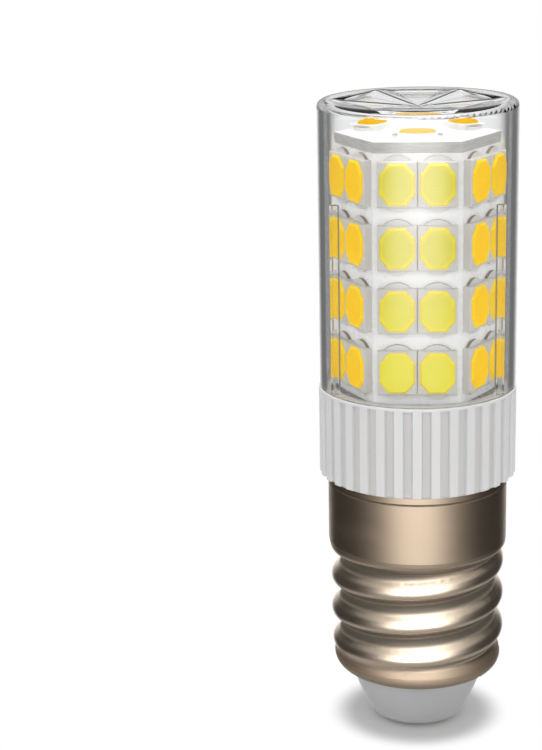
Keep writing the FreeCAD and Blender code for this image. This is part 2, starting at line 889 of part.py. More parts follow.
def top_packages():
    """Three LED packages on the top board, one towards the front."""
    body, phosphor, terminal = package("top_led", {
        "width": "top_led_width",
        "length": "top_led_length",
        "height": "top_led_height",
        "cup_width": "top_cup_width",
        "cup_length": "top_cup_length",
        "corner_across": "top_corner_across",
        "corner_along": "top_corner_along",
        "lug_width": "top_lug_width",
    })
    half_turn = Placement(Vector(), Rotation(UP, 180))
    places = []
    for index in range(TOP_PACKAGES):
        swing = Placement(Vector(), Rotation(UP, 360 / TOP_PACKAGES * index - 90))
        reach = "top_led_place" if index else "top_front_place"
        place = Placement(Vector(size(reach), 0, size("top_board_top")), Rotation())
        places.append(swing.multiply(place))
    turned = [place.multiply(half_turn) for place in places]
    copies("led_bodies_top", body, places)
    copies("phosphor_top", phosphor, places)
    copies("led_terminals_top", terminal, places + turned)


def driver():
    """The upright driver board, held in the collar's slots, and its two supply pins."""
    board = new_body("driver_board")
    outline = plane_sketch(board, "board", "XZ_Plane", "-driver_board / 2")
    wide = "(collar_bore + driver_slot - driver_gap)"
    narrow = "driver_half"
    slot = "(lead_radius + lead_gap)"
    slot_top = "driver_bottom + lead_slot"
    add_outline(outline, [
        (slot, "driver_bottom"),
        (narrow, "driver_bottom"),
        (narrow, "driver_shoulder"),
        (wide, "driver_shoulder"),
        (wide, "ledge"),
        ("-" + wide, "ledge"),
        ("-" + wide, "driver_shoulder"),
        ("-" + narrow, "driver_shoulder"),
        ("-" + narrow, "driver_bottom"),
        ("-" + slot, "driver_bottom"),
        ("-" + slot, slot_top),
        (slot, slot_top),
    ])
    pad(board, outline, "driver_board")
    keep(board, "driver_board")
    pins = []
    for name, side in (("left_pin", "-pin_place"), ("right_pin", "pin_place")):
        base = (side, "board_half + pin_radius", "ledge - pin_below")
        pins.append(cylinder(name, "pin_radius", "pin_below + base_disc + pin_above", base))
    pair = doc.addObject("Part::Compound", "supply_pins")
    pair.Links = pins
    keep(pair, "supply_pins")


def block(name, prefix, side, edge_size):
    """A bevelled block on one face of the driver board: side 1 is behind it, -1 in front."""
    low_y = "board_half" if side > 0 else "-(board_half + %s_depth)" % prefix
    high_y = low_y + " + %s_depth" % prefix
    half = prefix + "_width / 2"
    base = prefix + "_base"
    raw = box(name + "_block", ("-" + half, low_y, base), (half, high_y, base + " + %s_length" % prefix))
    far = size(high_y if side > 0 else low_y)
    keep(chamfered(name, raw, edge_size, lambda edge: abs(edge.CenterOfMass.y - far) < 1e-6), name)


def driver_components():
    """The components on both faces of the driver board."""
    block("film_capacitor", "film", 1, "film_edge")
    block("bridge_rectifier", "bridge", -1, "package_edge")
    block("driver_ic", "chip", -1, "package_edge")
    can = new_body("electrolytic_capacitor")
    top = "smoothing_base + smoothing_length"
    crimp = "smoothing_base + 3 * smoothing_edge"
    turn(can, [
        ("0", "smoothing_base"),
        ("smoothing_radius - smoothing_edge", "smoothing_base"),
        ("smoothing_radius", "smoothing_base + smoothing_edge"),
        ("smoothing_radius", crimp),
        ("smoothing_radius - smoothing_edge / 2", crimp + " + smoothing_edge / 2"),
        ("smoothing_radius", crimp + " + smoothing_edge"),
        ("smoothing_radius", top + " - smoothing_edge"),
        ("smoothing_radius - smoothing_edge", top),
        ("0", top),
    ])
    bind(can, Placement__Base__y="board_half + smoothing_radius")
    keep(can, "electrolytic_capacitor")
    chips = []
    for index in range(int(size("resistor_count"))):
        shift = "(%s - (resistor_count - 1) / 2) * resistor_pitch" % index
        low = (shift + " - resistor_width / 2", "-board_half - resistor_depth", "resistor_base")
        high = (shift + " + resistor_width / 2", "-board_half", "resistor_base + resistor_length")
        chips.append(box("chip_resistor_%d" % (index + 1), low, high))
    group = doc.addObject("Part::Compound", "chip_resistors")
    group.Links = chips
    keep(group, "chip_resistors")


def leads():
    """The fusible resistor on the way to the contact, and the wire soldered inside the shell."""
    fuse = new_body("fuse_resistor")
    fuse_top = "fuse_base + fuse_length"
    lead_top = "driver_bottom + lead_slot"
    turn(fuse, [
        ("0", "bore_bottom + lead_gap"),
        ("lead_radius", "bore_bottom + lead_gap"),
        ("lead_radius", "fuse_base"),
        ("fuse_radius - fuse_end", "fuse_base"),
        ("fuse_radius", "fuse_base + fuse_end"),
        ("fuse_radius", fuse_top + " - fuse_end"),
        ("fuse_radius - fuse_end", fuse_top),
        ("lead_radius", fuse_top),
        ("lead_radius", lead_top),
        ("0", lead_top),
    ])
    keep(fuse, "fuse_resistor")
    side = "(driver_board / 2 + wire_radius)"
    reach = "sqrt(wire_place ^ 2 + " + side + " ^ 2)"
    wire = new_body("shell_wire")
    path = plane_sketch(wire, "wire_path", "XZ_Plane")
    start = Vector(size(reach), size("wire_start"), 0)
    bend = Vector(size(reach), size("wire_level - wire_bend"), 0)
    centre = bend + ACROSS * size("wire_bend")
    level = centre + Vector(0, size("wire_bend"), 0)
    end = Vector(size("wire_end"), size("wire_level"), 0)
    path.addGeometry(Part.LineSegment(start, bend), False)
    bow = Part.ArcOfCircle(Part.Circle(centre, UP, size("wire_bend")), math.pi / 2, math.pi)
    path.addGeometry(bow, False)
    path.addGeometry(Part.LineSegment(level, end), False)
    path.addConstraint(Sketcher.Constraint("Vertical", 0))
    path.addConstraint(Sketcher.Constraint("Horizontal", 2))
    path.addConstraint(Sketcher.Constraint("Tangent", 0, 2, 1, 2))
    path.addConstraint(Sketcher.Constraint("Tangent", 1, 1, 2, 1))
    radius = path.addConstraint(Sketcher.Constraint("Radius", 1, size("wire_bend")))
    path.setExpression("Constraints[%d]" % radius, linked("wire_bend"))
    hold_point(path, 0, 1, (reach, "wire_start"))
    hold_point(path, 2, 2, ("wire_end", "wire_level"))
    section = plane_sketch(wire, "wire_section", level="wire_start")
    add_circle(section, "wire_radius", reach)
    pipe = wire.newObject("PartDesign::AdditivePipe", "wire_pipe")
    pipe.Profile = section
    pipe.Spine = (path, ["Edge1", "Edge2", "Edge3"])
    swing = "180 deg + atan(" + side + " / wire_place)"
    bind(wire, Placement__Rotation__Angle=swing)
    keep(wire, "shell_wire")
    rod = new_body("solder_rod")
    spot = plane_sketch(rod, "solder_spot", "YZ_Plane", "wire_end")
    add_circle(spot, "solder_radius", "0", "wire_level")
    pad(rod, spot, "barrel_radius - wire_end")
    bind(rod, Placement__Rotation__Angle=swing)
    bore = cylinder("shell_bore", "barrel_radius - barrel_wall", "shell_top", ("0", "0", "0"))
    keep(boolean("Common", "shell_solder", rod, bore), "shell_solder")


def export():
    """Checks the whole document and writes one STEP file for each sub-part."""
    doc.recompute()
    for item in doc.Objects:
        if "Invalid" in item.State or "Error" in item.State:
            raise RuntimeError("%s: %s %s" % (item.Label, item.State, item.getStatusString()))
    os.makedirs("parts", exist_ok=True)
    for item in nodes:
        shape = item.Shape
        if shape.isNull() or not shape.isValid() or not shape.Solids:
            raise RuntimeError("%s has no valid solid" % item.Label)
        shape.exportStep(os.path.join("parts", item.Label + ".step"))


base_insulator()
centre_contact()
screw_shell()
collar()
clear_cover()
column()
side_packages()
top_packages()
driver()
driver_components()
leads()
export()
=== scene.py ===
import logging
import math
from dataclasses import dataclass
from enum import Enum
from typing import Iterable, Mapping, Sequence, Union

import bpy
from mathutils import Color, Matrix, Vector

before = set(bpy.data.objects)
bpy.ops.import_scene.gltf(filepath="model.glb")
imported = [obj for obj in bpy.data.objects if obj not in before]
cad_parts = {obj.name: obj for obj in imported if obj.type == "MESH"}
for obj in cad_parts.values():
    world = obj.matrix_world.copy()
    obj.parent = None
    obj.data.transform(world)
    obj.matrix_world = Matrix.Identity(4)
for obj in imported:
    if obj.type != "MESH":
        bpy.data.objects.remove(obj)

LOG = logging.getLogger("corn_bulb")
MM_PER_METRE = 1000.0
DISPLAY_WHITE = 255.0
FACES = range(1, 7)
FRONT_FACE = 1
OTHER_FACES = [face for face in FACES if face != FRONT_FACE]

# A Mix node's sockets for colours have names that repeat, so they go by number.
MIX_SHARE, MIX_FIRST, MIX_SECOND, MIX_RESULT = 0, 6, 7, 2

Colour = tuple[float, float, float, float]
Point = tuple[float, float, float]
Span = tuple[float, float]
Value = Union["Signal", float, Sequence[float]]
Settings = Mapping[str, object]
Inputs = Mapping[Union[str, int], Value]

WHITE: Colour = (1.0, 1.0, 1.0, 1.0)


def tone(red: float, green: float, blue: float) -> Colour:
    """Turns a display colour into the linear colour that a shader takes.

    Args:
        red: red from 0 to 255.
        green: green from 0 to 255.
        blue: blue from 0 to 255.

    Returns:
        The linear colour with an alpha of 1.
    """
    shown = Color((red / DISPLAY_WHITE, green / DISPLAY_WHITE, blue / DISPLAY_WHITE))
    linear = shown.from_srgb_to_scene_linear()
    return linear.r, linear.g, linear.b, 1.0


class Sight(Enum):
    """Kinds of ray, each by its Light Path output."""

    CAMERA = "Is Camera Ray"
    GLOSSY = "Is Glossy Ray"
    THROUGH = "Is Transmission Ray"
    SHADOW = "Is Shadow Ray"
    DIFFUSE = "Is Diffuse Ray"


class Signal:
    """A node's output that takes part in arithmetic and adds its own Math nodes."""

    def __init__(self, graph: "Graph", socket: bpy.types.NodeSocket) -> None:
        """Keeps the graph and the socket.

        Args:
            graph: the graph that holds the socket.
            socket: the output that this signal stands for.
        """
        self.graph = graph
        self.socket = socket

    def _with(self, operation: str, *values: Value) -> "Signal":
        """Adds one Math node over the given values."""
        inputs = dict(enumerate(values))
        return self.graph.signal("ShaderNodeMath", {"operation": operation}, inputs)

    def __add__(self, other: Value) -> "Signal":
        """Sum of this and another value."""
        return self._with("ADD", self, other)

    def __radd__(self, other: Value) -> "Signal":
        """Sum with the other value first."""
        return self._with("ADD", other, self)

    def __sub__(self, other: Value) -> "Signal":
        """Difference of this and another value."""
        return self._with("SUBTRACT", self, other)

    def __rsub__(self, other: Value) -> "Signal":
        """Difference with the other value first."""
        return self._with("SUBTRACT", other, self)

    def __mul__(self, other: Value) -> "Signal":
        """Product of this and another value."""
        return self._with("MULTIPLY", self, other)

    def __rmul__(self, other: Value) -> "Signal":
        """Product with the other value first."""
        return self._with("MULTIPLY", other, self)

    def __truediv__(self, other: Value) -> "Signal":
        """Quotient of this and another value."""
        return self._with("DIVIDE", self, other)

    def __pow__(self, other: Value) -> "Signal":
        """This value to a power."""
        return self._with("POWER", self, other)

    def __neg__(self) -> "Signal":
        """This value with its sign turned."""
        return self._with("MULTIPLY", self, -1.0)

    def larger(self, other: Value) -> "Signal":
        """The larger of this and another value."""
        return self._with("MAXIMUM", self, other)

    def size(self) -> "Signal":
        """This value without its sign."""
        return self._with("ABSOLUTE", self)

    def share(self) -> "Signal":
        """The part of this value after the point."""
        return self._with("FRACT", self)

    def sine(self) -> "Signal":
        """Sine of this value in radians."""
        return self._with("SINE", self)

    def angle_to(self, other: Value) -> "Signal":
        """Angle in radians whose tangent is this over the other value."""
        return self._with("ARCTAN2", self, other)

    def rise(self, start: float, end: float) -> "Signal":
        """Rises smoothly from 0 to 1 as this value goes from start to end.

        Args:
            start: the value at which the rise starts.
            end: the value at which it ends.

        Returns:
            The signal from 0 to 1.
        """
        settings = {"interpolation_type": "SMOOTHSTEP", "clamp": True}
        inputs = {"Value": self, "From Min": start, "From Max": end}
        return self.graph.signal("ShaderNodeMapRange", settings, inputs)


def between(share: Signal, start: Union[Signal, float], end: Union[Signal, float]) -> Signal:
    """Goes from one value to another.

    Args:
        share: 0 at the first value and 1 at the second.
        start: the first value.
        end: the second value.

    Returns:
        The value in between.
    """
    return start + share * (end - start)


class Graph:
    """The nodes of one material or of the world."""

    def __init__(self, tree: bpy.types.NodeTree) -> None:
        """Empties a node tree and works in it.

        Args:
            tree: the tree of a material or world.
        """
        self.tree = tree
        self.tree.nodes.clear()

    def node(
        self,
        kind: str,
        settings: Settings | None = None,
        inputs: Inputs | None = None,
    ) -> bpy.types.Node:
        """Adds a node, sets it up and feeds its inputs.

        Args:
            kind: the node's type name.
            settings: properties that are set first.
            inputs: values or links by socket name or number.

        Returns:
            The new node.
        """
        node = self.tree.nodes.new(kind)
        for name, value in (settings or {}).items():
            setattr(node, name, value)
        for name, value in (inputs or {}).items():
            socket = node.inputs[name]
            if isinstance(value, Signal):
                self.tree.links.new(value.socket, socket)
            else:
                socket.default_value = value
        return node

    def signal(
        self,
        kind: str,
        settings: Settings | None = None,
        inputs: Inputs | None = None,
        output: Union[str, int] = 0,
    ) -> Signal:
        """Adds a node and returns one of its outputs as a signal.

        Args:
            kind: the node's type name.
            settings: properties that are set first.
            inputs: values or links by socket name or number.
            output: name or number of the output.

        Returns:
            The output as a signal.
        """
        return Signal(self, self.node(kind, settings, inputs).outputs[output])

    def split(self, vector: Value) -> tuple[Signal, Signal, Signal]:
        """Splits a vector into its three parts.

        Args:
            vector: the vector to split.

        Returns:
            The parts along X, Y and Z.
        """
        parts = self.node("ShaderNodeSeparateXYZ", None, {"Vector": vector}).outputs
        return Signal(self, parts["X"]), Signal(self, parts["Y"]), Signal(self, parts["Z"])

    def join(self, along_x: Value, along_y: Value, along_z: Value) -> Signal:
        """Joins three values into a vector.

        Args:
            along_x: the part along X.
            along_y: the part along Y.
            along_z: the part along Z.

        Returns:
            The vector.
        """
        return self.signal("ShaderNodeCombineXYZ", None, {"X": along_x, "Y": along_y, "Z": along_z})

    def place(self) -> Signal:
        """The position on the bulb, in metres."""
        return self.signal("ShaderNodeTexCoord", output="Object")

    def facing(self) -> tuple[Signal, Signal, Signal]:
        """The parts of the surface's own normal along X, Y and Z."""
        return self.split(self.signal("ShaderNodeNewGeometry", output="True Normal"))

    def radius(self, place: Signal) -> Signal:
        """The distance of a place from the bulb's axis, in millimetres."""
        x, y, _ = self.split(place)
        return (x * x + y * y) ** 0.5 * MM_PER_METRE

    def height(self, place: Signal) -> Signal:
        """The height of a place above the centre contact's face, in millimetres."""
        return self.split(place)[2] * MM_PER_METRE

    def sights(self, *kinds: Sight) -> tuple[Signal, ...]:
        """Tells rays apart by what they are.

        Args:
            kinds: the kinds of ray that are asked for.

        Returns:
            For each kind, a signal of 1 on its rays and 0 on the others.
        """
        path = self.node("ShaderNodeLightPath")
        return tuple(Signal(self, path.outputs[kind.value]) for kind in kinds)

    def noise(self, vector: Value, scale: float, detail: float, roughness: float = 0.5) -> Signal:
        """Smooth noise from 0 to 1.

        Args:
            vector: where the noise is read.
            scale: repeats in one unit of the vector.
            detail: number of finer layers.
            roughness: strength of the finer layers.

        Returns:
            The noise.
        """
        inputs = {"Vector": vector, "Scale": scale, "Detail": detail, "Roughness": roughness}
        return self.signal("ShaderNodeTexNoise", None, inputs)

    def blend(self, share: Value, first: Value, second: Value) -> Signal:
        """Mixes two colours.

        Args:
            share: 0 gives the first colour and 1 the second.
            first: the first colour.
            second: the second colour.

        Returns:
            The mixed colour.
        """
        inputs = {MIX_SHARE: share, MIX_FIRST: first, MIX_SECOND: second}
        return self.signal("ShaderNodeMix", {"data_type": "RGBA"}, inputs, MIX_RESULT)

    def choose(self, share: Value, first: Value, second: Value) -> Signal:
        """Mixes two shaders.

        Args:
            share: 0 gives the first shader and 1 the second.
            first: the first shader.
            second: the second shader.

        Returns:
            The mixed shader.
        """
        return self.signal("ShaderNodeMixShader", None, {0: share, 1: first, 2: second})

    def bump(self, height: Value, distance: float, strength: float = 1.0) -> Signal:
        """Normals of a fine relief.

        Args:
            height: the relief from 0 to 1.
            distance: its depth in metres.
            strength: share of the relief that is used.

        Returns:
            The normal.
        """
        inputs = {"Height": height, "Distance": distance, "Strength": strength}
        return self.signal("ShaderNodeBump", None, inputs)

    def principled(self, inputs: Inputs) -> Signal:
        """A surface shader with the given inputs."""
        return self.signal("ShaderNodeBsdfPrincipled", None, inputs)


@dataclass(frozen=True)
class Finish:
    """What every finish shares: its name and the way its material is made."""

    name: str

    def make(self) -> bpy.types.Material:
        """Makes the material.

        Returns:
            The material with its nodes.
        """
        material = bpy.data.materials.new(self.name)
        material.use_nodes = True
        graph = Graph(material.node_tree)
        graph.node("ShaderNodeOutputMaterial", None, {"Surface": self.surface(graph)})
        return material

    def surface(self, graph: Graph) -> Signal:
        """The finish's shader; each finish has its own."""
        raise NotImplementedError


@dataclass(frozen=True)
class ClearMoulding(Finish):
    """Clear glossy moulded plastic that lets light in without caustics."""

    index: float = 1.58
    roughness: float = 0.012
    tint: Colour = (0.985, 0.99, 0.99, 1.0)
    veil: Colour = (0.985, 0.985, 0.985, 1.0)
    flow_scale: float = 240.0
    flow_depth: float = 0.00001
    flow_strength: float = 0.2

    def surface(self, graph: Graph) -> Signal:
        """The clear plastic, which shadow and diffuse rays pass straight.

        Args:
            graph: the graph to work in.

        Returns:
            The shader.
        """
        flow = graph.noise(graph.place(), self.flow_scale, detail=2.0)
        clear = graph.principled({
            "Base Color": self.tint,
            "Roughness": self.roughness,
            "IOR": self.index,
            "Transmission Weight": 1.0,
            "Normal": graph.bump(flow, self.flow_depth, self.flow_strength),
        })
        straight = graph.signal("ShaderNodeBsdfTransparent", None, {"Color": self.veil})
        shadow, diffuse = graph.sights(Sight.SHADOW, Sight.DIFFUSE)
        return graph.choose(shadow.larger(diffuse), clear, straight)


@dataclass(frozen=True, kw_only=True)
class Moulding(Finish):
    """Opaque moulded plastic: faint flow clouds and a fine spark-eroded grain."""

    cloud_scale: float = 180.0
    cloud_span: Span = (0.35, 0.7)
    grain_scale: float = 9000.0
    grain_depth: float = 0.000004
    scatter: Point = (1.0, 0.95, 0.9)
    scatter_depth: float = 0.0012

    def clouds(self, graph: Graph, place: Signal) -> Signal:
        """Where the plastic flowed unevenly, from 0 to 1."""
        return graph.noise(place, self.cloud_scale, detail=4.0).rise(*self.cloud_span)

    def grain(self, graph: Graph, place: Signal) -> Signal:
        """The mould's grain, from 0 to 1."""
        return graph.noise(place, self.grain_scale, detail=2.0, roughness=0.6)


@dataclass(frozen=True)
class SatinMoulding(Moulding):
    """Moulded plastic in one colour, satin or lacquered."""

    colour: Colour = (0.8, 0.8, 0.8, 1.0)
    cloud: Colour = (0.76, 0.75, 0.74, 1.0)
    roughness: float = 0.42
    unevenness: float = 0.12
    glow: float = 0.0
    coat: float = 0.0
    coat_roughness: float = 0.12

    def surface(self, graph: Graph) -> Signal:
        """The moulded plastic.

        Args:
            graph: the graph to work in.

        Returns:
            The shader.
        """
        place = graph.place()
        grain = self.grain(graph, place)
        return graph.principled({
            "Base Color": graph.blend(self.clouds(graph, place), self.colour, self.cloud),
            "Roughness": self.roughness + (grain - 0.5) * self.unevenness,
            "Coat Weight": self.coat,
            "Coat Roughness": self.coat_roughness,
            "Subsurface Weight": self.glow,
            "Subsurface Radius": self.scatter,
            "Subsurface Scale": self.scatter_depth,
            "Normal": graph.bump(grain, self.grain_depth),
        })


@dataclass(frozen=True)
class RibbedMoulding(Moulding):
    """Pale moulded collar: light polished rib faces over recesses that are darker as painted shade."""

    rib: Colour = tone(214, 214, 215)
    # Painted shade: the colour of the recesses between the ribs.
    recess_shade: Colour = tone(202, 201, 200)
    rib_radii: Span = (7.56, 7.72)
    cloud_share: float = 0.15
    roughness: float = 0.5
    polish: float = 0.14
    unevenness: float = 0.1
    glow: float = 0.05

    def surface(self, graph: Graph) -> Signal:
        """The collar's plastic.

        Args:
            graph: the graph to work in.

        Returns:
            The shader.
        """
        place = graph.place()
        raised = graph.radius(place).rise(*self.rib_radii)
        worn = 1.0 - self.clouds(graph, place) * self.cloud_share
        grain = self.grain(graph, place)
        return graph.principled({
            # The recesses between the ribs take the darker colour as painted shade.
            "Base Color": graph.blend(raised * worn, self.recess_shade, self.rib),
            "Roughness": self.roughness - raised * self.polish + (grain - 0.5) * self.unevenness,
            "Subsurface Weight": self.glow,
            "Subsurface Radius": self.scatter,
            "Subsurface Scale": self.scatter_depth,
            "Normal": graph.bump(grain, self.grain_depth),
        })


@dataclass(frozen=True)
class RolledNickel(Finish):
    """Rolled nickel-plated shell: warm satin metal with fine drawing marks round the axis.

    The thread's crests are bright. Its roots are darker, partly from tarnishing and partly as
    painted shade, and its undersides are darker as painted shade. The barrel above the
    thread is darker and duller than the crests, and the turned rim takes the same darker
    colour as painted shade that tones down its highlight, and is duller too. Radii and
    heights are in millimetres.
    """

    crest_colour: Colour = (0.82, 0.675, 0.53, 1.0)
    crest_worn: Colour = (0.74, 0.61, 0.48, 1.0)
    # Darker colour of the barrel above the thread. It is also laid on the turned rim as painted shade that
    # tones down its highlight.
    barrel_and_rim_shade_colour: Colour = (0.5, 0.395, 0.295, 1.0)
    # Dark colour of the thread's roots and undersides: tarnishing in the roots, and painted shade there and
    # on the undersides.
    tarnish_and_shade: Colour = (0.13, 0.11, 0.085, 1.0)
    crest_radii: Span = (6.17, 6.4)
    # Painted shade: faces that turn downward take the dark colour.
    underside_shade_lean: Span = (-0.68, -0.3)
    rim_heights: Span = (6.1, 6.6)
    rim_brightness: float = 0.5
    barrel_heights: Span = (14.6, 15.3)
    ring_scale: Point = (60.0, 60.0, 9000.0)
    ring_depth: float = 0.0000006
    ring_strength: float = 0.5
    smear_scale: float = 260.0
    smear_stretch: float = 3.0
    smear_span: Span = (0.4, 0.75)
    smear_share: float = 0.45
    speck_scale: float = 4200.0
    speck_span: Span = (0.68, 0.8)
    speck_share: float = 0.15
    root_metal: float = 0.45
    roughness: float = 0.3
    ring_roughness: float = 0.1
    smear_roughness: float = 0.05
    root_roughness: float = 0.2
    drawn_roughness: float = 0.06
    rim_roughness: float = 0.2

    def surface(self, graph: Graph) -> Signal:
        """The plated metal.

        Args:
            graph: the graph to work in.

        Returns:
            The shader.
        """
        place = graph.place()
        x, y, z = graph.split(place)
        across_x, across_y, upward = self.ring_scale
        drawing = graph.join(x * across_x, y * across_y, z * upward)
        rings = graph.noise(drawing, scale=1.0, detail=3.0, roughness=0.65)
        stretched = graph.join(x, y, z * self.smear_stretch)
        smears = graph.noise(stretched, self.smear_scale, detail=4.0).rise(*self.smear_span)
        specks = graph.noise(place, self.speck_scale, detail=1.0).rise(*self.speck_span)
        height = z * MM_PER_METRE
        rim = 1.0 - height.rise(*self.rim_heights)
        # The crests keep the plated colour. The roots take the dark colour as tarnishing and painted shade,
        # and the undersides take it as painted shade.
        unshaded_crest = graph.radius(place).rise(*self.crest_radii) * graph.facing()[2].rise(*self.underside_shade_lean)
        bright = unshaded_crest.larger(rim * self.rim_brightness)
        # The barrel and the turned rim take the darker colour; on the rim it is painted shade.
        barrel_and_rim_shade = height.rise(*self.barrel_heights).larger(rim)
        wear = smears * self.smear_share + specks * self.speck_share
        plated = graph.blend(wear, self.crest_colour, self.crest_worn)
        marks = (rings - 0.5) * self.ring_roughness + smears * self.smear_roughness
        dulled = (1.0 - bright) * self.root_roughness + barrel_and_rim_shade * self.drawn_roughness
        return graph.principled({
            "Base Color": graph.blend(bright, self.tarnish_and_shade, graph.blend(barrel_and_rim_shade, plated, self.barrel_and_rim_shade_colour)),
            "Metallic": between(bright, self.root_metal, 1.0),
            "Roughness": self.roughness + marks + dulled + rim * self.rim_roughness,
            "Normal": graph.bump(rings, self.ring_depth, self.ring_strength),
        })


@dataclass(frozen=True)
class BrightMetal(Finish):
    """Tinned, plated or drawn metal in a small size: soft gloss with uneven patches."""

    colour: Colour = (0.75, 0.74, 0.71, 1.0)
    dull: Colour = (0.55, 0.53, 0.5, 1.0)
    roughness: float = 0.25
    patch_scale: float = 900.0
    patch_span: Span = (0.35, 0.75)
    patch_roughness: float = 0.2
    patch_depth: float = 0.000006
    patch_strength: float = 0.5

    def surface(self, graph: Graph) -> Signal:
        """The small metal's surface.

        Args:
            graph: the graph to work in.

        Returns:
            The shader.
        """
        patch = graph.noise(graph.place(), self.patch_scale, detail=4.0).rise(*self.patch_span)
        return graph.principled({
            "Base Color": graph.blend(patch, self.colour, self.dull),
            "Metallic": 1.0,
            "Roughness": self.roughness + patch * self.patch_roughness,
            "Normal": graph.bump(patch, self.patch_depth, self.patch_strength),
        })


@dataclass(frozen=True)
class SolderMask(Finish):
    """Glossy board lacquer over a faint relief of its tracks. Sizes are in metres."""

    colour: Colour = (0.94, 0.94, 0.93, 1.0)
    shade: Colour = (0.91, 0.91, 0.9, 1.0)
    roughness: float = 0.28
    column_radius: float = 0.0062
    track_pitch: float = 0.0016
    row_pitch: float = 0.0048
    track_span: Span = (0.9, 1.3)
    track_share: float = 0.7
    peel_scale: float = 2600.0
    peel_roughness: float = 0.1
    mottle_scale: float = 420.0
    mottle_span: Span = (0.4, 0.8)
    mottle_share: float = 0.5
    relief: float = 0.000012
    relief_strength: float = 0.5

    def tracks(self, graph: Graph, place: Signal) -> Signal:
        """Copper under the lacquer, in pads at the packages' rows.

        Args:
            graph: the graph to work in.
            place: the position on the bulb.

        Returns:
            1 over the copper and 0 beside it.
        """
        x, y, z = graph.split(place)
        around = y.angle_to(x) * self.column_radius
        columns = (around * (math.tau / self.track_pitch)).sine()
        rows = (z * (math.tau / self.row_pitch)).sine()
        return (columns + rows).rise(*self.track_span)

    def surface(self, graph: Graph) -> Signal:
        """The lacquered board.

        Args:
            graph: the graph to work in.

        Returns:
            The shader.
        """
        place = graph.place()
        peel = graph.noise(place, self.peel_scale, detail=2.0)
        mottle = graph.noise(place, self.mottle_scale, detail=3.0).rise(*self.mottle_span)
        raised = self.tracks(graph, place) * self.track_share + peel * (1.0 - self.track_share)
        return graph.principled({
            "Base Color": graph.blend(mottle * self.mottle_share, self.colour, self.shade),
            "Roughness": self.roughness + (peel - 0.5) * self.peel_roughness,
            "Normal": graph.bump(raised, self.relief, self.relief_strength),
        })


@dataclass(frozen=True)
class SawnBoard(SolderMask):
    """Lacquered board whose sawn edges show the grey layers of its laminate."""

    edge: Colour = (0.44, 0.43, 0.41, 1.0)
    seam: Colour = (0.58, 0.57, 0.55, 1.0)
    flat_span: Span = (0.4, 0.8)
    fibre_scale: Point = (900.0, 900.0, 16000.0)
    fibre_span: Span = (0.35, 0.65)
    edge_roughness: float = 0.3
    edge_relief: float = 0.000008

    def surface(self, graph: Graph) -> Signal:
        """The board's lacquered faces and sawn edges.

        Args:
            graph: the graph to work in.

        Returns:
            The shader.
        """
        place = graph.place()
        x, y, z = graph.split(place)
        across_x, across_y, upward = self.fibre_scale
        layers = graph.join(x * across_x, y * across_y, z * upward)
        fibres = graph.noise(layers, scale=1.0, detail=3.0, roughness=0.6).rise(*self.fibre_span)
        flat = graph.facing()[2].rise(*self.flat_span)
        sawn = 1.0 - flat
        peel = graph.noise(place, self.peel_scale, detail=2.0)
        return graph.principled({
            "Base Color": graph.blend(flat, graph.blend(fibres, self.edge, self.seam), self.colour),
            "Roughness": self.roughness + sawn * self.edge_roughness,
            "Normal": graph.bump(peel + fibres * sawn, self.edge_relief, self.relief_strength),
        })


